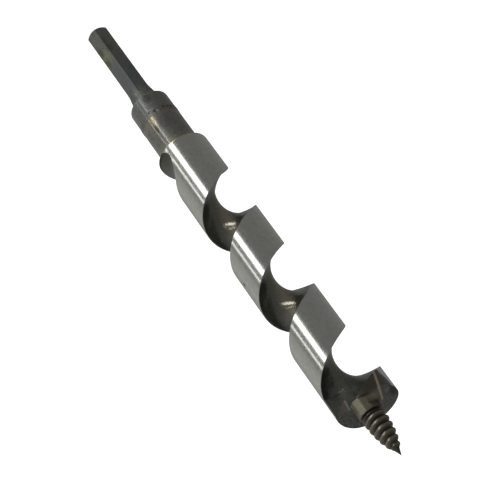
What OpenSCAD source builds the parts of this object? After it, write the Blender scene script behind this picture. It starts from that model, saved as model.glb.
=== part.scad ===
// Wood-boring auger bit: a six-sided drive shank welded to a single spiral
// twist with an open centre, which ends in a two-lipped cutting head and a
// threaded lead screw. Lengths are in millimetres. The axis is Z, the drive
// end lies at zero and the lead screw points along +Z.

/* [Drive shank] */
// Width of the six-sided shank across its flats
hex_flats = 9.5; // [8.5:0.1:10.5]
// Length of the six-sided stretch, from the drive end to the flare
hex_len = 38.8; // [30:0.2:60]
// Length of the cone that carries the flats out towards the collar
flare_len = 9.8; // [6:0.2:14]
// Diameter of that cone where it meets the collar
flare_d = 12.6; // [11.6:0.1:14]
// Bevel turned on the drive end
end_bevel = 0.9; // [0.4:0.1:1.5]

/* [Collar] */
// Diameter of the collar, on both sides of the weld
collar_d = 17.5; // [16.5:0.1:19]
// Length of the collar on the shank side of the weld
upper_collar_len = 10.4; // [8:0.2:16]
// Length of the plain collar on the twist side of the weld
lower_collar_len = 19.5; // [14:0.5:26]
// Radius that rounds the collar's end towards the shank
collar_round = 0.8; // [0.4:0.1:1.6]

/* [Weld] */
// Width of the weld groove at the collar's surface
weld_w = 3.2; // [2:0.1:4]
// Depth of the weld groove
weld_depth = 1.6; // [1:0.1:2.2]
// Height that the dressed weld stands proud of the collar
weld_crown = 0.15; // [0.05:0.05:0.3]

/* [Register inside the weld] */
// Diameter of the turned spigot on the shank
spigot_d = 9; // [7:0.1:10]
// Length of the spigot
spigot_len = 7; // [5:0.2:9]
// Gap between the spigot and its socket, all round
spigot_gap = 0.05; // [0.03:0.01:0.1]
// Free depth that the socket keeps past the spigot's end
socket_relief = 0.6; // [0.3:0.1:1]

/* [Twist] */
// Diameter of the ground outside of the twist
twist_d = 22.6; // [21.8:0.1:23.4]
// Length from the collar to the cutting head's end face
twist_len = 138.7; // [120:0.1:165]
// Advance of the spiral in one full turn
twist_lead = 43.5; // [38:0.5:50]
// Radius that rounds the twist's edge towards the collar
shoulder_round = 1; // [0.5:0.1:1.6]
// Width of the round flute across its direction of travel
flute_w = 16.5; // [15.5:0.1:17]
// Gap that the flute's floor keeps from the axis
flute_floor = 0.25; // [0.15:0.05:0.8]
// Length over which the flute runs out towards the collar
runout_len = 25.2; // [20:0.2:32]

/* [Cutting head] */
// Diameter that the cutting wing bores
cutting_d = 25; // [24:0.1:26]
// Length of the wing along the axis
wing_len = 12; // [9:0.2:14]
// Diameter of the nose that carries the lead screw
nose_d = 9.4; // [8.6:0.1:10]
// Length of the nose past the end face
nose_len = 1.7; // [1:0.1:3]

/* [Lead screw] */
// Diameter over the thread where it leaves the nose
screw_d = 9.2; // [8:0.1:9.4]
// Length of the lead screw past the nose
screw_len = 19; // [15:0.2:24]
// Advance of the thread in one turn
thread_pitch = 2.6; // [2.2:0.05:3.2]
// Depth of the thread
thread_depth = 1.1; // [0.7:0.05:1.3]
// Length of the plain point in front of the thread
point_len = 3.4; // [2.5:0.1:5]
// Diameter of the plain stud that sits in the nose
stud_d = 4; // [3:0.1:4.6]
// Length of the stud
stud_len = 5; // [4:0.1:6]
// Gap between the stud and its bore, all round
stud_gap = 0.03; // [0.02:0.01:0.08]

/* [Hidden] */
$fn = 64;

// Overrun that keeps the faces of a cut clear of what it cuts
overrun = 1;

// Heights of the joints along the axis
flare_z = hex_len;
collar_z = flare_z + flare_len;
weld_z = collar_z + upper_collar_len;
shoulder_z = weld_z + lower_collar_len;
face_z = shoulder_z + twist_len;
nose_z = face_z + nose_len;
tip_z = nose_z + screw_len;

// Shank. The six flats run out in the flare, and the collar's end is rounded.
hex_corner_r = hex_flats / 2 / cos(30);
hex_turn = 30;
collar_r = collar_d / 2;
weld_root_r = collar_r - weld_depth;
weld_flat_share = 0.4;
spigot_bevel = 0.5;

// Twist. The flute is the path of a round cutter that climbs a helix. The
// cutter is longer along the axis than across it by the stretch share.
twist_r = twist_d / 2;
flute_r = flute_w / 2;
flute_reach = flute_floor + flute_r;
flute_stretch_share = 1.18;
flute_climb = twist_lead / (2 * PI * flute_stretch_share);
flute_end_turn = 358;

// Run-out. The flute starts at the rounded edge of the twist, as a shallow lip,
// and turns less steeply over the first half of its run-out. The turned edge is
// left a hair proud of the ground land.
runout_z = shoulder_z + shoulder_round;
edge_proud = 0.04;
edge_r = twist_r + edge_proud;
runout_lip = 0.5;
runout_turn = 33;

// Cutting head. The mouth of the flute stops turning before the end face,
// which leaves the rounded heel lobe opposite the wing.
lip_len = 16;
lip_turn = 24;
throat_len = 26;
throat_turn = 9;
mouth_len = 13;
heel_turn = 346;
wing_turn = 165;
wing_half_turn = 57;
wing_fade_turn = 14;
wing_fade = 1.4;
lip_fall_share = 0.14;
heel_fall_share = 0.3;
heel_split = 4.2;
nose_root = 4.6;
nose_flat_share = 0.95;
nose_flat_turns = [265, 295];

// Lead screw. Its outline is an ogive that falls away towards the point, and
// the thread gets shallower with it.
ogive_power = 2.6;
thread_fade_share = 0.45;
thread_start_turn = 284;

// Resolution of the lofted surfaces
section_turn = 12;
land_steps = 20;
thread_sides = 24;
thread_rings = 8;
edge_halvings = 26;

// A number kept between 0 and 1
function clamp(x) = max(0, min(1, x));

// A smooth step from 0 to 1 while x goes from a to b
function ease(x, a, b) = let (t = clamp((x - a) / (b - a))) t * t * (3 - 2 * t);

// The difference between two directions, from -180 to 180
function turn_between(a, b) = (a - b) - 360 * round((a - b) / 360);

// How far the cutter has lifted out of the twist at a height
function flute_lift(z) =
    let (t = clamp((runout_z + runout_len - z) / runout_len))
    (twist_r + flute_r - flute_reach - runout_lip) * t;

// Direction of the middle of the flute at a height
function flute_turn(z) =
    flute_end_turn - 360 * (face_z - z) / twist_lead
    + runout_turn * clamp(1 - 2 * (z - runout_z) / runout_len);

// A point of the flute's wall as [radius, turn from the middle of the flute]
// for a cutter whose centre runs at the given reach, touched at angle psi
function flute_point(reach, psi) =
    let (s = sqrt(flute_climb * flute_climb + pow(reach * sin(psi), 2)))
    let (rho = flute_r * flute_climb / s)
    let (phi = flute_r * reach * sin(psi) / (flute_climb * s) * 180 / PI)
    let (inward = reach - rho * cos(psi))
    let (across = rho * sin(psi))
    [norm([inward, across]), phi + atan2(across, inward)];

// The angle psi at which the flute's wall comes out through the land
function flute_edge(reach, low = 0, high = 180, left = edge_halvings) =
    left == 0
        ? low
        : let (middle = (low + high) / 2)
          flute_point(reach, middle)[0] < twist_r
              ? flute_edge(reach, middle, high, left - 1)
              : flute_edge(reach, low, middle, left - 1);

// Share of its half turn that the flute's trailing wall keeps at a height
function mouth_share(z) =
    let (half = flute_point(flute_reach, flute_edge(flute_reach))[1])
    let (open = turn_between(heel_turn, flute_turn(z)))
    z < face_z - mouth_len ? 1 : min(1, open / half);

// How far the wing stands out of the twist in one direction, at one height
function wing_rise(z, turn) =
    (cutting_d / 2 - twist_r)
    * ease(z, face_z - wing_len - wing_fade, face_z - wing_len)
    * (1 - ease(abs(turn_between(turn, wing_turn)), wing_half_turn, wing_half_turn + wing_fade_turn));

// How far the leading edge stands in front of its helix at a height. The throat
// is dressed back, and the cutting lip reaches forward over it.
function lip_shift(z) =
    let (t = clamp((z - face_z + throat_len) / (throat_len - wing_len)))
    lip_turn * ease(z, face_z - lip_len, face_z) - throat_turn * pow(sin(180 * t), 2);

// One closed outline of the twist at a height: the flute's wall, then the land
function section(z) =
    let (reach = flute_reach + flute_lift(z))
    let (edge = flute_edge(reach))
    let (middle = flute_turn(z))
    let (squeeze = mouth_share(z))
    let (half = flute_point(reach, edge)[1])
    let (sweep = 360 - half * (1 + squeeze) + lip_shift(z))
    concat(
        [for (i = [0 : land_steps - 1])
            let (share = -cos(180 * i / land_steps))
            let (p = flute_point(reach, edge * share))
            let (turn = middle + (share > 0 ? p[1] * squeeze : p[1] - lip_shift(z) * pow(share, 3)))
            let (rim = i == 0 ? p[0] + wing_rise(z, turn) : p[0])
            [rim * cos(turn), rim * sin(turn), z]],
        [for (i = [0 : land_steps - 1])
            let (turn = middle + half * squeeze + sweep * i / land_steps)
            let (rim = twist_r + wing_rise(z, turn))
            [rim * cos(turn), rim * sin(turn), z]]
    );

// The four corners of a patch as two triangles
function two_triangles(a, b, c, d) = [[a, b, c], [a, c, d]];

// Triangles that close an outline whose two halves face each other
function cap(first, half, up) =
    [for (i = [0 : half - 1], t = two_triangles(first + i, first + (i + 1),
            first + 2 * half - i - 1, first + (2 * half - i) % (2 * half)))
        if (len([for (k = t) if (len(search(k, t, 0)) > 1) k]) == 0) up ? t : [t[2], t[1], t[0]]];

// Triangles between outlines that have equal counts of points
function walls(rings, count) =
    [for (j = [0 : rings - 2], i = [0 : count - 1])
        let (k = (i + 1) % count)
        each two_triangles(j * count + i, (j + 1) * count + i, (j + 1) * count + k, j * count + k)];

// The spiral from the flute's run-out to just past the end face
module spiral() {
    end_z = nose_z;
    steps = ceil((end_z - runout_z) / twist_lead * 360 / section_turn);
    outlines = [for (i = [0 : steps]) section(runout_z + (end_z - runout_z) * i / steps)];
    count = 2 * land_steps;
    polyhedron(
        points = [for (outline = outlines, p = outline) p],
        faces = concat(walls(steps + 1, count), cap(0, land_steps, true), cap(steps * count, land_steps, false)),
        convexity = 12
    );
}

// What the grinding of the end faces takes away. The back of the head is square
// to the axis, and the faces of the lip and the heel fall away to the front.
module end_clearance() {
    span = cutting_d + 2 * overrun;
    translate([-span / 2, -span / 2, face_z]) cube([span, span, span / 2]);
    translate([heel_split, 0, face_z]) rotate([atan(lip_fall_share), 0, 0])
        translate([-span, -span, 0]) cube([span, span + span / 2, span / 2]);
    translate([heel_split, twist_r, face_z]) rotate([atan(heel_fall_share), 0, 0])
        translate([0, -span, 0]) cube([span, span + span / 2, span / 2]);
}

// The twist's half of the collar, with half of the weld groove and the shoulder
module lower_collar() {
    rotate_extrude() {
        polygon([
            [0, weld_z], [weld_root_r, weld_z], [collar_r, weld_z + weld_w / 2], [collar_r, shoulder_z],
            [edge_r - shoulder_round, shoulder_z], [edge_r - shoulder_round, runout_z], [0, runout_z]
        ]);
        translate([edge_r - shoulder_round, runout_z]) intersection() {
            circle(r = shoulder_round);
            translate([0, -shoulder_round]) square(shoulder_round);
        }
    }
}

// The stub in the middle of the head, with two ground flats at the front
module nose() {
    flat_r = nose_d / 2 * nose_flat_share;
    translate([0, 0, face_z - nose_root]) difference() {
        cylinder(d = nose_d, h = nose_root + nose_len);
        for (turn = nose_flat_turns) rotate(turn)
            translate([flat_r, -nose_d / 2, -overrun]) cube([nose_d, nose_d, nose_root + nose_len + 2 * overrun]);
    }
}

// Outline of the lead screw over its thread, and of its core
function crest_r(z) = screw_d / 2 * (1 - pow(z / screw_len, ogive_power));
function depth_at(z) = thread_depth * (1 - thread_fade_share * z / (screw_len - point_len));
function core_r(z) =
    let (last = screw_len - point_len)
    z < last
        ? crest_r(z) - depth_at(z)
        : (crest_r(last) - depth_at(last)) * (screw_len - z) / point_len;

// Radius of the threaded surface. The crest is round and the valley is narrow.
function thread_r(z, turn) =
    let (last = screw_len - point_len)
    let (grip = ease(z, 0, thread_pitch / 2) * (1 - ease(z, last - thread_pitch / 4, last + thread_pitch / 4)))
    core_r(z) + depth_at(min(z, last)) * grip * abs(cos(180 * z / thread_pitch - (turn - thread_start_turn) / 2));

module threaded_point() {
    rings = ceil(screw_len / thread_pitch * thread_rings);
    rows = [for (j = [0 : rings - 1])
        let (z = screw_len * j / rings)
        [for (i = [0 : thread_sides - 1])
            let (turn = 360 * i / thread_sides)
            [thread_r(z, turn) * cos(turn), thread_r(z, turn) * sin(turn), nose_z + z]]];
    count = rings * thread_sides;
    last = count - thread_sides;
    polyhedron(
        points = concat([for (row = rows, p = row) p], [[0, 0, nose_z], [0, 0, tip_z]]),
        faces = concat(
            walls(rings, thread_sides),
            [for (i = [0 : thread_sides - 1]) [(i + 1) % thread_sides, count, i]],
            [for (i = [0 : thread_sides - 1]) [last + i, count + 1, last + (i + 1) % thread_sides]]
        ),
        convexity = 8
    );
}

module hex_shank() color("dimgray") {
    intersection() {
        rotate(hex_turn) cylinder(r = hex_corner_r, h = collar_z + collar_round, $fn = 6);
        cylinder(r1 = hex_corner_r - end_bevel, r2 = hex_corner_r - end_bevel + collar_z, h = collar_z + collar_round);
    }
    translate([0, 0, flare_z]) cylinder(d1 = hex_flats, d2 = flare_d, h = flare_len);
    rotate_extrude() {
        translate([0, collar_z]) square([collar_r - collar_round, collar_round]);
        translate([collar_r - collar_round, collar_z + collar_round]) circle(r = collar_round);
        polygon([
            [0, collar_z + collar_round], [collar_r, collar_z + collar_round],
            [collar_r, weld_z - weld_w / 2], [weld_root_r, weld_z], [0, weld_z]
        ]);
    }
    translate([0, 0, weld_z]) cylinder(d = spigot_d, h = spigot_len - spigot_bevel);
    translate([0, 0, weld_z + spigot_len - spigot_bevel])
        cylinder(d1 = spigot_d, d2 = spigot_d - 2 * spigot_bevel, h = spigot_bevel);
}

module weld_seam() color("darkslategray") {
    flat = weld_w * weld_flat_share / 2;
    rotate_extrude() polygon([
        [weld_root_r, weld_z], [collar_r, weld_z - weld_w / 2], [collar_r + weld_crown, weld_z - flat],
        [collar_r + weld_crown, weld_z + flat], [collar_r, weld_z + weld_w / 2]
    ]);
}

module twist() color("silver") {
    difference() {
        union() {
            difference() {
                spiral();
                end_clearance();
            }
            lower_collar();
            nose();
        }
        translate([0, 0, weld_z - overrun])
            cylinder(d = spigot_d + 2 * spigot_gap, h = overrun + spigot_len + socket_relief);
        translate([0, 0, nose_z - stud_len - stud_gap])
            cylinder(d = stud_d + 2 * stud_gap, h = stud_len + stud_gap + overrun);
    }
}

module lead_screw() color("saddlebrown") {
    threaded_point();
    translate([0, 0, nose_z - stud_len]) cylinder(d = stud_d, h = stud_len);
}

hex_shank();
weld_seam();
twist();
lead_screw();
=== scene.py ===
import math

import bmesh
import bpy
import numpy as np
from mathutils import Matrix, Vector, noise


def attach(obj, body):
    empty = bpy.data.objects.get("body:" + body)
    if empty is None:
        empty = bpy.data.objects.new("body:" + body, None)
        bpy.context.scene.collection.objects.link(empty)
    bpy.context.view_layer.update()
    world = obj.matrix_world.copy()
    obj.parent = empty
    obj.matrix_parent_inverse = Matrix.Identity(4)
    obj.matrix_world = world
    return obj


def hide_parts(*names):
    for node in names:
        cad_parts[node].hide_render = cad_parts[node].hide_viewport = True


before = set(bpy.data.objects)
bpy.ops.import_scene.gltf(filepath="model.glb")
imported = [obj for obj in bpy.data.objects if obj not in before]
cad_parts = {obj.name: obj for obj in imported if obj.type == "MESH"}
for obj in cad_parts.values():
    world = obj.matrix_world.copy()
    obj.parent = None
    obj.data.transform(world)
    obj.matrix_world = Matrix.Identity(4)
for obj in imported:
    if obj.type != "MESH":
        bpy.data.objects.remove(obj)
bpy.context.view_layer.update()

# Sizes of the auger bit in millimetres. Z runs from the drive end to the tip.
MM = 0.001
HEX_FLATS, HEX_SOFT, HEX_END = 9.5, 0.55, 38.8
END_BEVEL = 0.9
FLARE_D, COLLAR_Z, COLLAR_D, COLLAR_ROUND = 12.6, 48.6, 17.5, 0.8
WELD_Z, WELD_W, WELD_DEPTH, WELD_CROWN = 59.0, 3.2, 1.6, 0.15
SHOULDER_Z, SHOULDER_ROUND = 78.5, 1.0
TWIST_D, TWIST_LEAD, FACE_Z = 22.6, 43.5, 217.2
CUTTING_D, WING_LEN = 24.99, 12.0
NOSE_D, NOSE_Z, NOSE_ROOT_Z, NOSE_FLATS = 9.4, 218.9, 212.6, (265, 295)
LIP_FALL, HEEL_FALL, HEEL_SPLIT = 0.14, 0.3, 4.2
CUT_MARGIN = 4.0

# The number of points round a turned ring, and the angle in degrees past which an edge stays sharp
RING_POINTS, SHARP_EDGE = 360, 30

# The twist's grid: the column that lies on the flute's floor, and the rows of the shoulder's round.
FLOOR_COLUMN = 33.0
SHOULDER_ROWS = 9.5


class Term:
    """A number in a node tree. Arithmetic on it adds Math nodes."""

    def __init__(self, tree, socket):
        self.tree, self.socket = tree, socket

    def __add__(self, other):
        return work(self.tree, "ADD", self, other)

    def __radd__(self, other):
        return work(self.tree, "ADD", other, self)

    def __sub__(self, other):
        return work(self.tree, "SUBTRACT", self, other)

    def __rsub__(self, other):
        return work(self.tree, "SUBTRACT", other, self)

    def __mul__(self, other):
        return work(self.tree, "MULTIPLY", self, other)

    def __rmul__(self, other):
        return work(self.tree, "MULTIPLY", other, self)

    def __truediv__(self, other):
        return work(self.tree, "DIVIDE", self, other)

    def __pow__(self, other):
        return work(self.tree, "POWER", self, other)

    def do(self, operation, *others):
        return work(self.tree, operation, self, *others)


def plug(tree, socket, value):
    """Feeds a socket with a term, with another socket or with a plain value."""
    if isinstance(value, Term):
        value = value.socket
    if isinstance(value, bpy.types.NodeSocket):
        tree.links.new(value, socket)
    else:
        socket.default_value = value


def work(tree, operation, *terms):
    """One Math node, whose inputs are terms or plain numbers."""
    node = tree.nodes.new("ShaderNodeMath")
    node.operation = operation
    for socket, term in zip(node.inputs, terms):
        plug(tree, socket, term)
    return Term(tree, node.outputs[0])


def held(x):
    """The term kept between 0 and 1."""
    return x.do("MINIMUM", 1.0).do("MAXIMUM", 0.0)


def eased(x, a, b):
    """A smooth step from 0 to 1 while the term goes from a to b."""
    t = held((x - a) / (b - a))
    return t * t * (3.0 - 2.0 * t)


def sine(x):
    """The sine of an angle in degrees."""
    return x.do("RADIANS").do("SINE")


def cosine(x):
    """The cosine of an angle in degrees."""
    return x.do("RADIANS").do("COSINE")


def mixed(share, a, b):
    """a where the share is 0 and b where it is 1."""
    return a + share * (b - a)


def turn_apart(a, b):
    """The difference between two directions in degrees, from -180 to 180."""
    apart = a - b
    return apart - (apart / 360.0).do("ROUND") * 360.0


def added(name, data):
    """A new object of the scene that shows a mesh, a lamp or a camera."""
    thing = bpy.data.objects.new(name, data)
    bpy.context.scene.collection.objects.link(thing)
    return thing


def finish_with(mesh, finishes):
    """Gives a mesh this list of finishes and no other."""
    mesh.materials.clear()
    for finish in finishes:
        mesh.materials.append(finish)


class Recipe:
    """A Geometry Nodes tree with named sizes, and the modifier inputs that go with them."""

    def __init__(self, name, sizes, finishes):
        self.tree = bpy.data.node_groups.new(name, "GeometryNodeTree")
        self.given, self.values = {}, {}
        face = self.tree.interface
        face.new_socket("Mesh", in_out="OUTPUT", socket_type="NodeSocketGeometry")
        face.new_socket("Mesh", in_out="INPUT", socket_type="NodeSocketGeometry")
        for label, value in {**sizes, **finishes}.items():
            kind = "Material" if label in finishes else "Int" if isinstance(value, int) else "Float"
            socket = face.new_socket(label, in_out="INPUT", socket_type="NodeSocket" + kind)
            self.values[socket.identifier] = value
        source = self.tree.nodes.new("NodeGroupInput")
        for label in {**sizes, **finishes}:
            self.given[label] = Term(self.tree, source.outputs[label])

    def __getitem__(self, label):
        return self.given[label]

    def node(self, kind, **sockets):
        """A node whose inputs are given by name, with an underscore for each space."""
        node = self.tree.nodes.new(kind)
        for label, value in sockets.items():
            plug(self.tree, node.inputs[label.replace("_", " ")], value)
        return node

    def finish(self, geometry, paints):
        """Makes every instance real, paints the faces that each selection names and ends the tree."""
        real = self.node("GeometryNodeRealizeInstances", Geometry=geometry)
        geometry = real.outputs["Geometry"]
        for selection, label in paints:
            paint = self.node("GeometryNodeSetMaterial", Geometry=geometry, Material=self.given[label])
            if selection is not None:
                plug(self.tree, paint.inputs["Selection"], selection)
            geometry = paint.outputs["Geometry"]
        end = self.tree.nodes.new("NodeGroupOutput")
        self.tree.links.new(geometry, end.inputs["Mesh"])

    def make(self, name):
        """The plain mesh that the tree gives."""
        carrier = added(name, bpy.data.meshes.new(name + "_seed"))
        modifier = carrier.modifiers.new("Shape", "NODES")
        modifier.node_group = self.tree
        for identifier, value in self.values.items():
            modifier[identifier] = value
        graph = bpy.context.evaluated_depsgraph_get()
        mesh = bpy.data.meshes.new_from_object(carrier.evaluated_get(graph))
        carrier.modifiers.clear()
        carrier.data = mesh
        return carrier


def grid_shares(recipe, rows, columns):
    """A flat grid, with the number of each point's row and column."""
    grid = recipe.node(
        "GeometryNodeMeshGrid", Size_X=1.0, Size_Y=1.0, Vertices_X=rows, Vertices_Y=columns
    )
    apart = recipe.node("ShaderNodeSeparateXYZ")
    place = recipe.node("GeometryNodeInputPosition")
    recipe.tree.links.new(place.outputs[0], apart.inputs[0])
    row = ((Term(recipe.tree, apart.outputs["X"]) + 0.5) * (rows - 1.0)).do("ROUND")
    column = ((Term(recipe.tree, apart.outputs["Y"]) + 0.5) * (columns - 1.0)).do("ROUND")
    return grid.outputs["Mesh"], row, column


def stored(recipe, geometry, label, value):
    """Keeps a number with each point, because the points then move."""
    keep = recipe.node("GeometryNodeStoreNamedAttribute", Geometry=geometry, Name=label)
    keep.data_type, keep.domain = "FLOAT", "POINT"
    plug(recipe.tree, keep.inputs["Value"], value)
    return keep.outputs["Geometry"]


def placed(recipe, geometry, radius, turn, height):
    """Moves the points to a radius, a direction and a height, from millimetres to metres."""
    x, y = radius * cosine(turn), radius * sine(turn)
    spot = recipe.node("ShaderNodeCombineXYZ", X=x * MM, Y=y * MM, Z=height * MM)
    moved = recipe.node("GeometryNodeSetPosition", Geometry=geometry)
    recipe.tree.links.new(spot.outputs[0], moved.inputs["Position"])
    return moved.outputs["Geometry"]


def closed_up(recipe, geometry):
    """Joins the grid's last column to its first, where their points meet."""
    joined = recipe.node("GeometryNodeMergeByDistance", Geometry=geometry, Distance=0.00001 * MM)
    return joined.outputs["Geometry"]


def turned_profile():
    """The turned part of the twist as radius and height, from the weld's root to the shoulder's edge."""
    collar = COLLAR_D / 2
    inner = TWIST_D / 2 - SHOULDER_ROUND
    stations = [
        (collar - WELD_DEPTH, WELD_Z), (collar, WELD_Z + WELD_W / 2),
        (collar, WELD_Z + 8.0), (collar, WELD_Z + 14.0),
        (collar, SHOULDER_Z - 0.6), (collar + 0.08, SHOULDER_Z - 0.22), (collar + 0.3, SHOULDER_Z),
        (inner - 0.6, SHOULDER_Z),
    ]
    for k in range(9):
        lean = math.radians(90 * k / 8)
        radius = inner + SHOULDER_ROUND * math.sin(lean)
        stations.append((radius, SHOULDER_Z + SHOULDER_ROUND * (1 - math.cos(lean))))
    return stations


def spiral_recipe(finishes):
    """The turned collar and the spiral. A round cutter that climbs a helix leaves the flute."""
    profile = turned_profile()
    sizes = {
        "Twist diameter": TWIST_D, "Lead": TWIST_LEAD, "Flute width": 16.5, "Flute floor": 0.25,
        "Flute stretch": 1.18, "Flute end turn": 358.0, "Run-out start": SHOULDER_Z + SHOULDER_ROUND,
        "Run-out length": 25.2, "Run-out lip": 0.5, "Run-out turn": 33.0, "Face height": FACE_Z,
        "Cutting diameter": CUTTING_D, "Wing length": WING_LEN, "Wing fade": 1.4, "Wing turn": 165.0,
        "Wing half turn": 57.0, "Wing fade turn": 14.0, "Lip length": 16.0, "Lip turn": 24.0,
        "Throat length": 26.0, "Throat turn": 9.0, "Mouth length": 13.0, "Heel turn": 346.0,
        "End height": FACE_Z + 2.5, "Edge chamfer": 0.14, "Edge chamfer turn": 1.1,
        "Turned rows": len(profile), "Spiral rows": 460, "Flute columns": 64, "Land columns": 48,
    }
    r = Recipe("Spiral twist", sizes, finishes)
    tree = r.tree
    rows = r["Turned rows"] + r["Spiral rows"]
    flute_columns, land_columns = r["Flute columns"], r["Land columns"]
    grid, row, column = grid_shares(r, rows, flute_columns + land_columns + 3.0)

    # The collar's rows take their radius and height from the profile, and the spiral's rows climb evenly.
    pick = tree.nodes.new("GeometryNodeIndexSwitch")
    pick.data_type = "VECTOR"
    while len(pick.index_switch_items) < len(profile):
        pick.index_switch_items.new()
    plug(tree, pick.inputs["Index"], row.do("MINIMUM", len(profile) - 1.0))
    for k, (radius, height) in enumerate(profile):
        pick.inputs[k + 1].default_value = (radius, height, 0)
    station = tree.nodes.new("ShaderNodeSeparateXYZ")
    tree.links.new(pick.outputs[0], station.inputs[0])
    on_spiral = row.do("GREATER_THAN", r["Turned rows"] - 0.5)
    climb_share = held((row - r["Turned rows"]) / (r["Spiral rows"] - 1.0))
    spiral_height = mixed(climb_share, r["Run-out start"] + 0.02, r["End height"])
    height = mixed(on_spiral, Term(tree, station.outputs["Y"]), spiral_height)
    z = height.do("MAXIMUM", r["Run-out start"])

    # The flute's depth and direction at this height. It runs out and swings round above the shoulder.
    twist_r = r["Twist diameter"] * 0.5
    flute_r = r["Flute width"] * 0.5
    climb = r["Lead"] / (2 * math.pi * r["Flute stretch"])
    runout_share = held((r["Run-out start"] + r["Run-out length"] - z) / r["Run-out length"])
    runout_rise = twist_r - r["Flute floor"] - r["Run-out lip"]
    reach = r["Flute floor"] + flute_r + runout_rise * runout_share
    middle = (
        r["Flute end turn"] - 360.0 * (r["Face height"] - z) / r["Lead"]
        + r["Run-out turn"] * held(1.0 - 2.0 * (z - r["Run-out start"]) / r["Run-out length"])
    )

    def wall_point(psi):
        """The flute wall's radius and its turn from the middle, where it touches the cutter at psi."""
        lean = reach * sine(psi)
        path = (climb * climb + lean * lean).do("SQRT")
        rho = flute_r * climb / path
        inward = reach - rho * cosine(psi)
        across = rho * sine(psi)
        drift = (flute_r * lean / (climb * path)).do("DEGREES")
        away = (inward * inward + across * across).do("SQRT")
        return away, drift + across.do("ARCTAN2", inward).do("DEGREES")

    # The flute's edge lies where its wall reaches the land, which 24 halvings of a range find.
    first = tree.nodes.new("GeometryNodeRepeatInput")
    last = tree.nodes.new("GeometryNodeRepeatOutput")
    first.pair_with_output(last)
    last.repeat_items.clear()
    for label in ("Low", "High"):
        last.repeat_items.new("FLOAT", label)
    first.inputs["Iterations"].default_value = 24
    first.inputs["Low"].default_value = 0.0
    first.inputs["High"].default_value = 180.0
    low, high = Term(tree, first.outputs["Low"]), Term(tree, first.outputs["High"])
    halfway = (low + high) * 0.5
    inside = wall_point(halfway)[0].do("LESS_THAN", twist_r - r["Edge chamfer"])
    plug(tree, last.inputs["Low"], mixed(inside, low, halfway))
    plug(tree, last.inputs["High"], mixed(inside, halfway, high))
    edge = Term(tree, last.outputs["Low"])
    half = wall_point(edge)[1]

    # In the mouth the flute's heel keeps its direction. The other edge swings at the throat and the lip.
    in_mouth = z.do("GREATER_THAN", r["Face height"] - r["Mouth length"])
    open_share = (turn_apart(r["Heel turn"], middle) / half).do("MINIMUM", 1.0)
    squeeze = mixed(in_mouth, 1.0, open_share)
    throat_share = held((z - r["Face height"] + r["Throat length"]) / (r["Throat length"] - r["Wing length"]))
    throat = sine(180.0 * throat_share)
    lip_swing = r["Lip turn"] * eased(z, r["Face height"] - r["Lip length"], r["Face height"])
    shift = lip_swing - r["Throat turn"] * throat * throat

    def wing_rise(turn):
        """How far the cutting wing stands out past the land in a direction."""
        wing_z = r["Face height"] - r["Wing length"]
        off = turn_apart(turn, r["Wing turn"]).do("ABSOLUTE")
        side = 1.0 - eased(off, r["Wing half turn"], r["Wing half turn"] + r["Wing fade turn"])
        proud = r["Cutting diameter"] * 0.5 - twist_r
        return proud * eased(z, wing_z - r["Wing fade"], wing_z) * side

    # Across each row come the flute's columns, close together at its edges, and then the land's.
    last_column = flute_columns + land_columns + 2.0
    round_column = column - last_column * column.do("GREATER_THAN", last_column - 0.5)
    on_land = round_column.do("GREATER_THAN", flute_columns + 0.5)
    share = 0.0 - cosine(180.0 * (round_column / flute_columns).do("MINIMUM", 1.0))
    wall_r, wall_turn = wall_point(edge * share)
    behind = share.do("MAXIMUM", 0.0).do("GREATER_THAN", 0.0)
    wall_turn = mixed(behind, wall_turn - shift * share * share * share, wall_turn * squeeze) + middle
    near_edge = held((0.0 - share - 0.985) / 0.015)
    wall_r = wall_r + wing_rise(wall_turn) * near_edge
    land_share = held((round_column - flute_columns - 1.0) / land_columns)
    sweep = 360.0 - half * (1.0 + squeeze) + shift - 2.0 * r["Edge chamfer turn"]
    land_turn = middle + half * squeeze + r["Edge chamfer turn"] + sweep * land_share
    land_r = twist_r + wing_rise(land_turn)
    turn = mixed(on_land, wall_turn, land_turn)
    spiral_r = mixed(on_land, wall_r, land_r)
    radius = mixed(on_spiral, Term(tree, station.outputs["X"]), spiral_r)

    grid = stored(r, grid, "column", column)
    grid = stored(r, grid, "row", row)
    grid = stored(r, grid, "rim", eased(share.do("ABSOLUTE"), 0.94, 0.995) * (1.0 - on_land))
    tube = closed_up(r, placed(r, grid, radius, turn, height))

    def kept(label):
        """A number that was stored with the points."""
        node = r.node("GeometryNodeInputNamedAttribute", Name=label)
        node.data_type = "FLOAT"
        return Term(tree, node.outputs["Attribute"])

    collar_rows = r["Turned rows"] - SHOULDER_ROWS
    is_collar = kept("row").do("LESS_THAN", collar_rows)
    is_land = kept("column").do("GREATER_THAN", flute_columns) * kept("row").do("GREATER_THAN", collar_rows)
    r.finish(tube, [(None, "Flute finish"), (is_land, "Land finish"), (is_collar, "Collar finish")])
    return r


def solid(colour):
    """A colour with full cover, or the socket that gives one."""
    return (*colour, 1) if isinstance(colour, tuple) else colour


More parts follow.
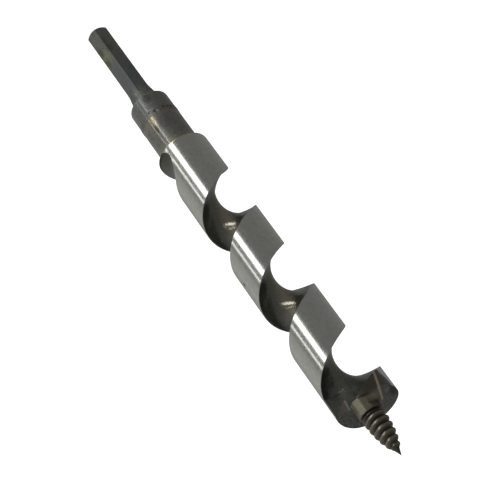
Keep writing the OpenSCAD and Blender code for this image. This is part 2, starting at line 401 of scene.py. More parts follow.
class Finish:
    """A steel finish as a node tree. Its lengths are millimetres on the piece's own coordinates."""

    def __init__(self, name, colour, rough, metal=1.0):
        self.material = bpy.data.materials.new(name)
        self.material.use_nodes = True
        self.tree = self.material.node_tree
        self.colour, self.rough, self.metal, self.relief = colour, rough, metal, None
        place = self.tree.nodes.new("ShaderNodeTexCoord")
        grow = self.tree.nodes.new("ShaderNodeVectorMath")
        grow.operation = "SCALE"
        grow.inputs["Scale"].default_value = 1 / MM
        self.tree.links.new(place.outputs["Object"], grow.inputs[0])
        self.spot = grow.outputs[0]
        apart = self.tree.nodes.new("ShaderNodeSeparateXYZ")
        self.tree.links.new(self.spot, apart.inputs[0])
        self.x, self.y, self.z = (Term(self.tree, apart.outputs[k]) for k in "XYZ")
        self.turn = self.y.do("ARCTAN2", self.x).do("DEGREES")

    def laid(self, size, stretch=(1, 1, 1), tilt=(0, 0, 0), start=0):
        """The piece's coordinates, scaled to a pattern's grain and stretched along each axis."""
        lay = self.tree.nodes.new("ShaderNodeMapping")
        lay.inputs["Location"].default_value = (start * 7.3, start * 3.1, start * 5.7)
        lay.inputs["Rotation"].default_value = [math.radians(t) for t in tilt]
        lay.inputs["Scale"].default_value = [1 / (size * k) for k in stretch]
        self.tree.links.new(self.spot, lay.inputs["Vector"])
        return lay.outputs[0]

    def cloudy(self, size, stretch=(1, 1, 1), tilt=(0, 0, 0), start=0, detail=2.0):
        """A soft random pattern around 0, mostly between -0.25 and 0.25."""
        cloud = self.tree.nodes.new("ShaderNodeTexNoise")
        cloud.inputs["Detail"].default_value = detail
        self.tree.links.new(self.laid(size, stretch, tilt, start), cloud.inputs["Vector"])
        return Term(self.tree, cloud.outputs["Fac"]) - 0.5

    def dotted(self, size, width, start):
        """Small scattered dots: 1 inside a dot and 0 between them. Width is a share of their distance."""
        cells = self.tree.nodes.new("ShaderNodeTexVoronoi")
        self.tree.links.new(self.laid(size, start=start), cells.inputs["Vector"])
        return 1.0 - eased(Term(self.tree, cells.outputs["Distance"]), width * 0.5, width)

    def vector(self, operation, source, other=(0, 0, 0)):
        """One Vector Math node on a socket of three numbers."""
        node = self.tree.nodes.new("ShaderNodeVectorMath")
        node.operation = operation
        self.tree.links.new(source, node.inputs[0])
        node.inputs[1].default_value = other
        return node.outputs["Value" if operation == "LENGTH" else "Vector"]

    def patch(self, centre, reach, ragged, grain, start=0):
        """A blot around a point: 1 in its middle, 0 outside, with an uneven rim."""
        spread = self.vector("DIVIDE", self.vector("SUBTRACT", self.spot, centre), reach)
        far = Term(self.tree, self.vector("LENGTH", spread))
        far = far + self.cloudy(grain, start=start) * ragged * 4.0
        return 1.0 - eased(far, 0.55, 1.15)

    def kept(self, label):
        """A number that the piece's mesh carries under this name."""
        node = self.tree.nodes.new("ShaderNodeAttribute")
        node.attribute_name = label
        return Term(self.tree, node.outputs["Fac"])

    def band(self, low, high, soft):
        """1 between two heights and 0 outside, with soft ends."""
        return eased(self.z, low - soft, low + soft) * (1.0 - eased(self.z, high - soft, high + soft))

    def tint(self, share, colour, rough=None):
        """Another colour, and another roughness, where the share is 1."""
        mix = self.tree.nodes.new("ShaderNodeMix")
        mix.data_type = "RGBA"
        share = held(share)
        plug(self.tree, mix.inputs[0], share)
        plug(self.tree, mix.inputs[6], solid(self.colour))
        plug(self.tree, mix.inputs[7], solid(colour))
        self.colour = mix.outputs[2]
        if rough is not None:
            self.rough = mixed(share, self.rough, rough)

    def stain(self, centre, reach, ragged, grain, start, share, colour, rough=None):
        """Tints a patch around a point, whose ragged rim has this grain. Start picks its random pattern."""
        self.tint(self.patch(centre, reach, ragged, grain, start) * share, colour, rough)

    def shade(self, amount):
        """Makes the colour lighter or darker by a share of itself."""
        mix = self.tree.nodes.new("ShaderNodeMix")
        mix.data_type, mix.blend_type = "RGBA", "MULTIPLY"
        mix.inputs[0].default_value = 1.0
        plug(self.tree, mix.inputs[6], solid(self.colour))
        plug(self.tree, mix.inputs[7], amount + 1.0)
        self.colour = mix.outputs[2]

    def roughen(self, amount):
        """Adds to the roughness, which stays above that of a mirror."""
        self.rough = (self.rough + amount).do("MAXIMUM", 0.05)

    def raised(self, height):
        """Adds relief in millimetres."""
        self.relief = height if self.relief is None else self.relief + height

    def oiled(self, weight, rough, ior):
        """A thin clear film that gives narrow reflections over a dull surface."""
        shader = self.tree.nodes["Principled BSDF"]
        plug(self.tree, shader.inputs["Coat Weight"], weight)
        shader.inputs["Coat Roughness"].default_value = rough
        shader.inputs["Coat IOR"].default_value = ior

    def done(self):
        """Joins everything to the shader and gives the material."""
        shader = self.tree.nodes["Principled BSDF"]
        plug(self.tree, shader.inputs["Base Color"], solid(self.colour))
        plug(self.tree, shader.inputs["Roughness"], self.rough)
        plug(self.tree, shader.inputs["Metallic"], self.metal)
        if self.relief is not None:
            bump = self.tree.nodes.new("ShaderNodeBump")
            bump.inputs["Distance"].default_value = MM
            plug(self.tree, bump.inputs["Height"], self.relief)
            self.tree.links.new(bump.outputs[0], shader.inputs["Normal"])
        return self.material


def head_marks_and_highlight(f):
    """The ground and burnt look of the cutting head, on the land behind the lip, with a painted blue-white
    highlight where the dark part hasn't begun.
    """
    # Directions run from 0 to 360 here. The lip's line leans back as it climbs.
    turn = f.turn + 360.0 * f.turn.do("LESS_THAN", 0.0)
    lip = turn - 223.0 - (f.z - 210.5) * 1.27 + f.cloudy(1.2, start=21) * 5.0
    on_head = eased(f.z + f.cloudy(2.0, start=22) * 3.0, FACE_Z - 12.5, FACE_Z - 9.0)
    start = 211.5 - 9.0 * eased(f.z, 210.0, 214.5)
    near = on_head * eased(turn - start, -1.5, 1.5) * (1.0 - eased(turn, 276.0, 284.0))
    far = on_head * eased(turn, 176.0, 182.0) * (1.0 - eased(turn - start, -1.5, 1.5))
    # Grey round the head, and a painted blue-white highlight where the dark part hasn't begun
    f.tint(on_head * (1.0 - near) * (1.0 - far) * 0.6, (0.36, 0.36, 0.34), 0.26)
    f.tint(far * 0.8, (0.6, 0.625, 0.67), 0.24)
    # Dark behind the lip: violet brown before its line and olive brown after it, with spots of soot
    f.tint(near * 0.92, (0.12, 0.12, 0.115), 0.32)
    f.tint(near * eased(turn, 210.5, 212.5) * 0.75, (0.17, 0.135, 0.125), 0.32)
    f.tint(near * eased(lip, 0.0, 1.0) * 0.85, (0.13, 0.118, 0.095), 0.36)
    f.tint(near * eased(f.cloudy(1.6, start=23), 0.04, 0.14) * 0.6, (0.06, 0.06, 0.055), 0.4)
    # The bright line itself
    f.tint(near * (1.0 - eased(lip.do("ABSOLUTE"), 1.2, 2.6)) * 0.95, (0.55, 0.48, 0.385), 0.34)


def make_land_finish():
    """Bright ground steel with rings from grinding, thin scratches, a satin rim, and the head's marks with a
    painted highlight.
    """
    f = Finish("ground_land", (0.575, 0.58, 0.54), 0.18)
    grain = f.cloudy(0.55, detail=3.0)
    rings = f.cloudy(0.22, (40, 40, 1), start=1)
    drift = f.cloudy(9.0, start=2)
    f.shade(grain * 0.7 + rings * 0.45 + drift * 0.24 + f.cloudy(1.2, start=9) * 0.3)
    steep = 1.0 - eased(f.cloudy(1.2, (1, 1, 30), (0, 38, 20), 3).do("ABSOLUTE"), 0.0, 0.008)
    level = 1.0 - eased(f.cloudy(2.2, (1, 24, 1), (30, 0, 50), 4).do("ABSOLUTE"), 0.0, 0.006)
    f.shade((steep + level) * 0.16)
    specks = f.dotted(2.3, 0.13, 5) * eased(f.cloudy(7.0, start=6), 0.0, 0.08)
    f.tint(specks * 0.55, (0.2, 0.19, 0.16), 0.4)
    pit = f.patch((10.35, -4.4, 148.6), (0.7, 0.7, 0.9), 0.3, 0.5)
    f.tint(pit, (0.1, 0.09, 0.07), 0.5)
    satin = 1.0 - eased(f.z + f.cloudy(2.0, start=7) * 0.8, SHOULDER_Z + 0.55, SHOULDER_Z + 1.15)
    f.tint(satin * 0.85, (0.36, 0.35, 0.27), 0.38)
    head_marks_and_highlight(f)
    f.roughen(grain * 0.12 + rings * 0.12 + drift * 0.05)
    f.raised(rings * 0.0012 + grain * 0.0018 - pit * 0.05)
    return f.done()


def make_flute_finish():
    """Dark ground steel with brown heat marks, streaks that run along the flute, a lighter floor that is
    partly polish and partly a painted highlight with a painted warm reflection, and painted shade in the
    throat.
    """
    f = Finish("dark_flute", (0.138, 0.141, 0.128), 0.2, 0.78)
    grain = f.cloudy(0.6, detail=3.0, start=1)
    drift = f.cloudy(4.5, start=2)
    across, along = f.kept("column"), f.kept("row")
    lay = f.tree.nodes.new("ShaderNodeCombineXYZ")
    plug(f.tree, lay.inputs["X"], across * 0.9)
    plug(f.tree, lay.inputs["Y"], along * 0.02)
    streak_cloud = f.tree.nodes.new("ShaderNodeTexNoise")
    streak_cloud.inputs["Scale"].default_value = 1.0
    f.tree.links.new(lay.outputs[0], streak_cloud.inputs["Vector"])
    streaks = Term(f.tree, streak_cloud.outputs["Fac"]) - 0.5
    f.tint(eased(f.cloudy(6.0, start=3), 0.0, 0.14) * 0.45, (0.17, 0.147, 0.108))
    f.tint(eased(f.cloudy(5.0, start=8), 0.04, 0.14) * 0.5, (0.125, 0.135, 0.14))
    f.shade(grain * 0.9 + drift * 0.9 + streaks * 0.9)
    near_head = eased(f.z, FACE_Z - 29.2, FACE_Z - 15.2)
    # The floor is lighter and warmer, partly polish from the chips and partly a painted warm reflection; its
    # narrow core is a painted highlight
    floor = 1.0 - eased((across - FLOOR_COLUMN + drift * 14.0).do("ABSOLUTE"), 2.0, 12.0)
    f.tint(floor * (1.0 - near_head * 0.6) * 0.55, (0.215, 0.2, 0.152), 0.12)
    core = 1.0 - eased((across - FLOOR_COLUMN + f.cloudy(2.4, start=12) * 10.0).do("ABSOLUTE"), 0.5, 4.5)
    f.tint(core * (1.0 - near_head) * 0.6, (0.38, 0.355, 0.28), 0.1)
    specks = f.dotted(3.4, 0.18, 4) * eased(f.cloudy(6.0, start=5), 0.02, 0.08)
    f.tint(specks * 0.8, (0.045, 0.035, 0.03), 0.5)
    f.tint(held(f.kept("rim")) * (1.0 - eased(f.z, 206.0, 211.0)) * 0.85, (0.5, 0.51, 0.51), 0.3)
    # Painted shade: the throat, the lip's side and the land's end above it are darkened where shade falls
    f.stain((-1.5, 0.0, 207.0), (5.0, 3.5, 4.5), 0.35, 2.0, 6, 0.45, (0.08, 0.085, 0.07), 0.42)
    f.stain((-1.0, -1.2, 209.6), (3.4, 3.2, 3.0), 0.2, 1.2, 7, 0.9, (0.06, 0.058, 0.05), 0.7)
    f.stain((-0.6, -11.2, 214.6), (2.6, 1.6, 2.4), 0.2, 1.2, 9, 0.9, (0.09, 0.085, 0.07), 0.65)
    runout = 1.0 - eased(f.z + f.cloudy(3.0, start=11) * 6.0, SHOULDER_Z + 6.0, SHOULDER_Z + 13.0)
    f.tint(runout * 0.85, (0.082, 0.084, 0.07), 0.36)
    # The brown corner beside the lip, with a bright line down its left
    climbed = f.z - 209.0
    left = 5.0 + climbed * 0.11
    front = 1.0 - eased(f.y, 0.5, 1.5)
    corner = eased(f.x - left, 0.0, 0.4) * (1.0 - eased(f.x - 5.5 - climbed * 1.3, -0.5, 0.3)) * front
    f.tint(corner * 0.8, (0.21, 0.18, 0.155), 0.36)
    edge_line = (1.0 - eased((f.x - left).do("ABSOLUTE"), 0.18, 0.42)) * eased(f.z, 208.5, 209.5) * front
    f.tint(edge_line * 0.75, (0.45, 0.42, 0.38), 0.35)
    f.roughen(grain * 0.05 + drift * 0.06)
    f.raised(streaks * 0.01 + grain * 0.002 + f.cloudy(3.5, start=10) * 0.08)
    return f.done()


def steel_skin(f, amount):
    """The fine mottling, dark spots and turning rings that the dark pieces share."""
    grain = f.cloudy(0.7, detail=3.0, start=11)
    drift = f.cloudy(3.2, start=12)
    rings = f.cloudy(0.3, (30, 30, 1), start=13)
    f.shade((grain * 0.75 + drift * 0.7 + rings * 0.35) * amount)
    spots = f.dotted(2.6, 0.22, 14) * eased(f.cloudy(5.0, start=15), 0.0, 0.08)
    f.tint(spots * 0.7 * amount, (0.05, 0.048, 0.04), 0.5)
    f.roughen(grain * 0.14 + drift * 0.12)
    f.raised(rings * 0.004 + grain * 0.004 - spots * 0.01)


def wiped_strip(f):
    """A strip along the collar, about 18 degrees wide, where the oil film is rubbed off."""
    edge = f.turn + f.cloudy(1.3, (1, 1, 3), start=19) * 14.0
    return eased(f.turn, -98.0, -94.0) * (1.0 - eased(edge, -80.0, -77.0))


def make_collar_finish():
    """The collar's twist half: heat tint from the weld, stains, an olive band and a film of oil."""
    f = Finish("tinted_collar", (0.158, 0.157, 0.138), 0.55, 0.9)
    near_weld = 1.0 - eased(f.z + f.cloudy(2.5, start=1) * 9.0, WELD_Z + 1.5, WELD_Z + 7.5)
    f.tint(near_weld * 0.5, (0.2, 0.183, 0.135))
    f.stain((4.6, -7.4, 64.0), (2.6, 3.0, 6.0), 0.6, 1.4, 2, 0.55, (0.25, 0.222, 0.14))
    f.stain((-1.5, -8.7, 66.5), (3.8, 3.0, 4.5), 0.45, 1.6, 3, 0.6, (0.11, 0.108, 0.103))
    f.stain((5.0, 7.2, 65.0), (4.5, 4.0, 5.0), 0.4, 2.0, 4, 0.6, (0.27, 0.225, 0.135))
    f.stain((-7.5, 4.0, 66.0), (4.0, 4.0, 4.5), 0.4, 1.8, 5, 0.6, (0.13, 0.12, 0.115))
    olive = eased(f.z + f.cloudy(2.2, start=6) * 6.0, SHOULDER_Z - 5.5, SHOULDER_Z - 1.5)
    f.tint(olive * 0.75, (0.24, 0.222, 0.145))
    # The gold spot and the dark ones beside it
    f.stain((2.2, -8.45, 62.9), (1.0, 1.0, 3.8), 0.5, 1.0, 8, 0.85, (0.42, 0.35, 0.22), 0.42)
    f.stain((3.1, -8.2, 67.3), (0.9, 1.1, 2.4), 0.4, 0.9, 9, 0.95, (0.05, 0.05, 0.042), 0.5)
    f.stain((7.3, -4.6, 66.5), (2.2, 2.4, 3.2), 0.6, 1.1, 10, 0.75, (0.085, 0.083, 0.075), 0.5)
    blots = eased(f.cloudy(2.6, start=17), 0.03, 0.12)
    f.tint(blots * 0.5, (0.1, 0.099, 0.09), 0.55)
    steel_skin(f, 1.4)
    film = held(0.9 + f.cloudy(1.5, start=18) * 3.0) * (1.0 - blots * 0.6)
    f.oiled(film * (1.0 - wiped_strip(f) * 0.85), 0.05, 1.9)
    return f.done()


def make_shank_finish():
    """Black oxide on the six-sided drive, worn grey and oiled on the collar, with stains and a dark end."""
    f = Finish("black_shank", (0.142, 0.147, 0.133), 0.55, 0.7)
    collar = eased(f.z, COLLAR_Z - 4.0, COLLAR_Z)
    # Painted light: the flat from -155 to -96 degrees is made lighter as if lit
    painted_lit_flat = eased(f.turn, -158.0, -155.0) * (1.0 - eased(f.turn, -98.0, -96.0))
    f.tint(painted_lit_flat * 0.6, (0.175, 0.178, 0.15))
    f.tint(collar, (0.156, 0.165, 0.153), 0.57)
    f.tint(f.band(20.0, 40.0, 5.0) * 0.8, (0.128, 0.135, 0.142))
    # Olive stains, with dark blots on them and on the flats beside them
    f.stain((3.0, -3.8, 16.5), (3.2, 3.2, 6.0), 0.6, 1.5, 1, 0.9, (0.205, 0.212, 0.14))
    f.stain((-2.6, 4.2, 27.0), (3.0, 2.4, 6.0), 0.45, 1.6, 2, 0.8, (0.19, 0.19, 0.14))
    f.stain((3.9, -3.4, 12.4), (1.9, 1.9, 3.0), 0.8, 0.9, 3, 0.75, (0.05, 0.052, 0.04), 0.58)
    f.stain((3.8, -3.5, 19.6), (1.6, 1.6, 2.8), 0.8, 0.9, 9, 0.65, (0.055, 0.056, 0.042), 0.58)
    f.stain((-0.9, -5.1, 13.6), (1.9, 1.8, 3.4), 0.8, 1.1, 4, 0.6, (0.065, 0.068, 0.05), 0.55)
    f.stain((-0.9, -5.1, 8.6), (1.6, 1.5, 2.6), 0.8, 1.1, 10, 0.6, (0.075, 0.075, 0.06), 0.55)
    f.stain((-4.9, 0.5, 20.0), (1.6, 1.8, 5.5), 0.5, 1.3, 5, 0.75, (0.08, 0.078, 0.065), 0.55)
    f.tint((1.0 - eased(f.z, 0.4, 1.6)) * 0.7, (0.08, 0.08, 0.07), 0.5)
    f.tint(f.band(COLLAR_Z - 0.9, COLLAR_Z + 0.35, 0.25) * 0.5, (0.09, 0.09, 0.08), 0.45)
    f.stain((-0.8, -8.7, 51.6), (2.2, 1.8, 2.4), 0.4, 1.0, 6, 0.85, (0.08, 0.078, 0.066), 0.45)
    for k, nick in enumerate(((1.77, -5.2, 43.8), (-3.2, 4.4, 42.5))):
        f.stain(nick, (0.7, 0.7, 0.9), 0.4, 0.6, 7 + k, 0.5, (0.3, 0.31, 0.31), 0.5)
    blots = eased(f.cloudy(2.4, start=17), 0.03, 0.12)
    f.tint(blots * 0.4, (0.085, 0.086, 0.076), 0.58)
    steel_skin(f, 1.6)
    film = held(0.85 + f.cloudy(1.5, start=18) * 3.0) * (1.0 - wiped_strip(f) * 0.75)
    f.oiled(collar * film, 0.06, 1.5)
    return f.done()


def make_weld_finish():
    """Rough weld metal, nearly as grey as the collar, with dark pits and a few bright grains."""
    deep_pits = (
        (1.75, -8.7, 58.4), (-0.55, -8.85, 59.4), (-4.6, -7.6, 59.0), (-6.1, -6.5, 59.3), (-7.1, -5.3, 59.3)
    )
    f = Finish("pitted_weld", (0.178, 0.178, 0.16), 0.55, 0.9)
    f.tint(eased(f.z + f.cloudy(1.6, start=1) * 5.0, WELD_Z, WELD_Z + 2.0) * 0.6, (0.24, 0.19, 0.12))
    f.tint(eased(f.cloudy(1.8, start=2), 0.02, 0.14) * 0.45, (0.12, 0.115, 0.1), 0.5)
    pits = f.dotted(1.9, 0.26, 3) * eased(f.cloudy(3.4, start=4), 0.02, 0.08)
    for k, spot in enumerate(deep_pits):
        pits = pits.do("MAXIMUM", f.patch(spot, (0.8, 0.8, 0.6), 0.4, 0.6, 5 + k))
    f.tint(pits * 0.9, (0.03, 0.028, 0.024), 0.6)
    drop = f.patch((-1.76, -8.67, 59.9), (0.55, 0.55, 0.45), 0.2, 0.5, 12)
    f.tint(f.dotted(2.4, 0.16, 11).do("MAXIMUM", drop) * 0.8, (0.6, 0.6, 0.57), 0.25)
    steel_skin(f, 0.8)
    f.oiled(0.3, 0.16, 1.6)
    f.raised(pits * -0.08 + f.cloudy(1.1, start=13) * 0.05)
    return f.done()


def make_nose_finish():
    """The stub behind the screw: tan on its first flat, olive brown elsewhere, with painted shade where it
    meets the screw.
    """
    f = Finish("ground_nose", (0.25, 0.23, 0.178), 0.33, 0.65)
    f.tint(eased(f.cloudy(2.0, start=1), 0.0, 0.1) * 0.6, (0.15, 0.14, 0.1), 0.35)
    f.tint((1.0 - eased(f.x + f.cloudy(1.3, start=4) * 3.0, 0.1, 0.9)) * 0.65, (0.125, 0.113, 0.075), 0.42)
    f.shade(f.cloudy(0.5, (1, 1, 12), start=2) * 0.9)
    # Painted shade in the groove where the screw meets the nose
    f.tint(eased(f.z + f.cloudy(0.9, start=3) * 1.5, NOSE_Z - 0.3, NOSE_Z) * 0.7, (0.06, 0.055, 0.045), 0.4)
    steel_skin(f, 0.8)
    return f.done()


def make_end_finish():
    """The ground head: dark mottled grey, with brown at the cutting lip on both sides of a bright line."""
    f = Finish("ground_end", (0.145, 0.145, 0.137), 0.34, 0.7)
    f.tint(eased(f.cloudy(2.4, start=1), -0.02, 0.03) * 0.85, (0.05, 0.052, 0.046), 0.3)
    f.tint(eased(f.cloudy(1.5, start=3), 0.03, 0.09) * 0.75, (0.27, 0.27, 0.26), 0.32)
    f.shade(f.cloudy(0.35, (14, 1, 1), (0, 0, 25), 4) * 0.7)
    front = 1.0 - eased(f.y, -1.2, 0.0)
    lip = f.x + 6.2 - (f.y + 1.1) * 0.165 + f.cloudy(1.2, start=5) * 0.7
    heel = f.x + 6.6 - (f.y + 1.2) * 0.48 + f.cloudy(1.2, start=6) * 1.2
    at_lip = front * eased(heel, -0.3, 0.3) * (1.0 - eased(f.x, 1.0, 3.0))
    f.tint(at_lip * 0.8, (0.16, 0.128, 0.115), 0.34)
    f.tint(at_lip * eased(lip, 0.0, 0.4) * 0.8, (0.135, 0.122, 0.098), 0.36)
    # Painted light: a lighter patch beside the nose, over the shade that falls there
    f.stain((-2.6, -6.0, 216.4), (3.4, 3.4, 2.5), 0.4, 1.3, 7, at_lip * 0.9, (0.4, 0.355, 0.28), 0.45)
    f.tint(front * (1.0 - eased(lip.do("ABSOLUTE"), 0.24, 0.6)) * 0.9, (0.54, 0.47, 0.38), 0.36)
    f.stain((-11.2, -1.5, 216.8), (1.8, 4.5, 2.5), 0.5, 1.3, 8, 0.8, (0.03, 0.032, 0.03), 0.35)
    f.stain((-9.4, -4.2, 216.5), (1.1, 1.4, 2.0), 0.6, 0.9, 9, 0.6, (0.25, 0.25, 0.225), 0.32)
    steel_skin(f, 1.6)
    return f.done()


def make_screw_finish():
    """Brown worn steel: lighter on the thread's crest, partly from wear and partly a painted highlight, and
    with painted shade in its root.
    """
    f = Finish("brown_screw", (0.112, 0.1, 0.078), 0.32, 0.85)
    crest = eased(f.kept("crest"), 0.66, 1.0)
    root = 1.0 - eased(f.kept("crest"), 0.08, 0.4)
    # Painted shade in the thread's root, and a crest that is lighter partly from wear and partly as a painted
    # highlight
    f.tint(root * 0.8, (0.065, 0.059, 0.048), 0.42)
    f.tint(crest * 0.6, (0.35, 0.31, 0.23), 0.37)
    f.tint(eased(f.cloudy(1.8, start=1), 0.02, 0.12) * 0.45, (0.13, 0.13, 0.13), 0.3)
    steel_skin(f, 0.9)
    return f.done()


land_finish = make_land_finish()
flute_finish = make_flute_finish()
collar_finish = make_collar_finish()
shank_finish = make_shank_finish()
weld_finish = make_weld_finish()
nose_finish = make_nose_finish()
end_finish = make_end_finish()
screw_finish = make_screw_finish()


def loft(name, rings, finishes):
    """A closed round body from rings of points in millimetres, with a flat cap on each end."""
    shape = bmesh.new()
    rows = [[shape.verts.new(Vector(p) * MM) for p in ring] for ring in rings]
    count = len(rows[0])
    for j in range(len(rows) - 1):
        for i in range(count):
            k = (i + 1) % count
            shape.faces.new((rows[j][i], rows[j][k], rows[j + 1][k], rows[j + 1][i]))
    shape.faces.new(list(reversed(rows[0])))
    shape.faces.new(rows[-1])
    mesh = bpy.data.meshes.new(name)
    bmesh.ops.recalc_face_normals(shape, faces=shape.faces)
    shape.to_mesh(mesh)
    shape.free()
    finish_with(mesh, finishes)
    return added(name, mesh)


def circle(radius, height):
    """One ring of points. The radius may be a function of the turn in degrees."""
    ring = []
    for i in range(RING_POINTS):
        turn = 360 * i / RING_POINTS
        r = radius(turn) if callable(radius) else radius
        ring.append((r * math.cos(math.radians(turn)), r * math.sin(math.radians(turn)), height))
    return ring


def hex_radius(turn):
    """Radius of the six-sided bar. Its softened corners point along 30, 90, 150 degrees and so on."""
    off = abs(turn % 60 - 30)
    flat = HEX_FLATS / 2
    centre = (flat - HEX_SOFT) / math.cos(math.radians(30))
    meet = math.degrees(math.atan2(HEX_SOFT * 0.5, centre + HEX_SOFT * math.cos(math.radians(30))))
    if off < meet:
        beta = math.radians(off)
        return centre * math.cos(beta) + math.sqrt(HEX_SOFT**2 - (centre * math.sin(beta))**2)
    return flat / math.cos(math.radians(30 - off))


def soft_most(a, b, blend):
    """The larger of two lengths, with a small fillet where they cross."""
    h = max(0.0, blend - abs(a - b)) / blend
    return max(a, b) + h * h * blend / 4


def make_shank():
    """The six-sided drive, which runs out in a cone, and the collar's shank half."""
    corner = HEX_FLATS / 2 / math.cos(math.radians(30))
    end_fillet, cone_fillet = 0.2, 0.25
    rings = []
    # The bevelled end
    for z in (0, 0.1, 0.2, 0.35, 0.5, 0.65, 0.8, 0.9, 1.1, 1.5, 3):
        bevel = corner - END_BEVEL + z
        rings.append(circle(lambda turn: -soft_most(-hex_radius(turn), -bevel, end_fillet), z))
    # The bar, and the cone in which its flats run out
    for z in np.linspace(5, HEX_END - 1, 12):
        rings.append(circle(hex_radius, z))
    for z in np.linspace(HEX_END - 0.5, COLLAR_Z, 40):
        lift = max(0.0, (z - HEX_END) / (COLLAR_Z - HEX_END))
        cone = HEX_FLATS / 2 + (FLARE_D / 2 - HEX_FLATS / 2) * lift
        rings.append(circle(lambda turn: soft_most(hex_radius(turn), cone, cone_fillet), z))
    # The collar's end face and round edge, its side, and the slope of the weld's groove
    collar = COLLAR_D / 2
    rings.append(circle(FLARE_D / 2 + 0.25, COLLAR_Z))
    rings.append(circle((FLARE_D / 2 + collar) / 2, COLLAR_Z))
    for k in range(9):
        lean = math.radians(90 * k / 8)
        radius = collar - COLLAR_ROUND * (1 - math.sin(lean))
        rings.append(circle(radius, COLLAR_Z + COLLAR_ROUND * (1 - math.cos(lean))))
    for z in np.linspace(COLLAR_Z + 2, WELD_Z - WELD_W / 2, 6):
        rings.append(circle(collar, z))
    rings.append(circle(collar - WELD_DEPTH, WELD_Z))
    return loft("hex_shank_dressed", rings, [shank_finish])


def make_weld():
    """The weld that fills the groove, with an uneven crown. Its pits are in its finish."""
    collar = COLLAR_D / 2
    rows, foot = 26, 0.3

    def bead(turn, z, t):
        """The crown's radius, where t runs from -1 to 1 across the bead."""
        spot = Vector((math.cos(math.radians(turn)) * 6, math.sin(math.radians(turn)) * 6, z * 1.2))
        rough = noise.fractal(spot * 0.9, 0.6, 2.0, 4)
        crown = WELD_CROWN * (1 - t**4)
        edge = 0.06 * rough * (1 - abs(t) ** 6)
        return collar - 0.06 * abs(t) ** 8 + crown * 0.75 + edge

    rings = [circle(collar - WELD_DEPTH + foot, WELD_Z - foot)]
    for j in range(rows + 1):
        t = 2 * j / rows - 1
        z = WELD_Z + t * (WELD_W / 2 + 0.25)
        rings.append(circle(lambda turn: bead(turn, z, t), z))
    rings.append(circle(collar - WELD_DEPTH + foot, WELD_Z + foot))
    return loft("weld_bead", rings, [weld_finish])


def cutter(name, split_x, point, fall, low_x, high_x):
    """A block above a plane that slopes along Y, which is ground off the head on one side of a line."""
    span = CUTTING_D + CUT_MARGIN
    slope = math.atan(fall)
    shape = bmesh.new()
    bmesh.ops.create_cube(shape, size=1)
    for v in shape.verts:
        v.co.x = low_x if v.co.x < 0 else high_x
        v.co.y *= 3 * span
        v.co.z = 0 if v.co.z < 0 else span / 2
    lean = Matrix.Translation(Vector((split_x, *point))) @ Matrix.Rotation(slope, 4, "X")
    shape.transform(Matrix.Scale(MM, 4) @ lean)
    mesh = bpy.data.meshes.new(name)
    shape.to_mesh(mesh)
    shape.free()
    return added(name, mesh)


def make_nose():
    """The stub that carries the screw, with two flats ground on its front."""
    flat = NOSE_D / 2 * 0.95
    bevel = 0.2

    def outline(turn, shrink=0.0):
        """The nose's radius in a direction, less what the bevel takes."""
        r = NOSE_D / 2
        for at in NOSE_FLATS:
            off = math.radians((turn - at + 180) % 360 - 180)
            if math.cos(off) > 0.5:
                r = min(r, flat / math.cos(off))
        return r - shrink

    rings = [circle(outline, NOSE_ROOT_Z)]
    for z in np.linspace(NOSE_ROOT_Z + 1, NOSE_Z - bevel, 4):
        rings.append(circle(outline, z))
    for k in range(1, 4):
        lean = math.radians(30 * k)
        shrink = bevel * (1 - math.cos(lean))
        rings.append(circle(lambda turn: outline(turn, shrink), NOSE_Z - bevel + bevel * math.sin(lean)))
    return loft("nose_stub", rings, [])


def cap_ends(piece):
    """Closes the open ends of a tube with flat faces in its first finish."""
    shape = bmesh.new()
    shape.from_mesh(piece.data)
    rims = [e for e in shape.edges if e.is_boundary]
    made = bmesh.ops.holes_fill(shape, edges=rims, sides=0)
    for face in made["faces"]:
        face.material_index = 0
    bmesh.ops.recalc_face_normals(shape, faces=shape.faces)
    shape.to_mesh(piece.data)
    shape.free()


def combine(piece, tool, operation):
    """Cuts or joins one solid with another, exactly."""
    step = piece.modifiers.new(tool.name, "BOOLEAN")
    step.object, step.operation, step.solver = tool, operation, "MANIFOLD"
    graph = bpy.context.evaluated_depsgraph_get()
    mesh = bpy.data.meshes.new_from_object(piece.evaluated_get(graph))
    piece.modifiers.clear()
    piece.data = mesh
    bpy.data.objects.remove(tool)


def sorted_finishes(piece, finishes):
    """Puts a mesh's finishes in a known order, with each face on its own as before."""
    mesh = piece.data
    new_number = [finishes.index(old) if old in finishes else 0 for old in mesh.materials]
    numbers = [new_number[face.material_index] for face in mesh.polygons]
    finish_with(mesh, finishes)
    mesh.polygons.foreach_set("material_index", numbers)


def own_finishes(piece, finishes, own):
    """One finish on a cutting tool, out of the same list as on the work, so that faces keep their number."""
    finish_with(piece.data, finishes)
    for face in piece.data.polygons:
        face.material_index = finishes.index(own)


def make_twist():
    """The spiral with its collar, its head ground by three cuts and its nose joined on."""
    named = {"Flute finish": flute_finish, "Land finish": land_finish, "Collar finish": collar_finish}
    piece = spiral_recipe(named).make("twist_dressed")
    finishes = [flute_finish, land_finish, collar_finish, end_finish, nose_finish]
    sorted_finishes(piece, finishes)
    cap_ends(piece)
    span = CUTTING_D + CUT_MARGIN
    top = cutter("face_cut", 0, (0, FACE_Z), 0, -span, span)
    lip = cutter("lip_cut", HEEL_SPLIT, (0, FACE_Z), LIP_FALL, -span, 0)
    heel = cutter("heel_cut", HEEL_SPLIT, (TWIST_D / 2, FACE_Z), HEEL_FALL, 0, span)
    for tool in (top, lip, heel):
        own_finishes(tool, finishes, end_finish)
        combine(piece, tool, "DIFFERENCE")
    nose = make_nose()
    own_finishes(nose, finishes, nose_finish)
    combine(piece, nose, "UNION")
    return piece


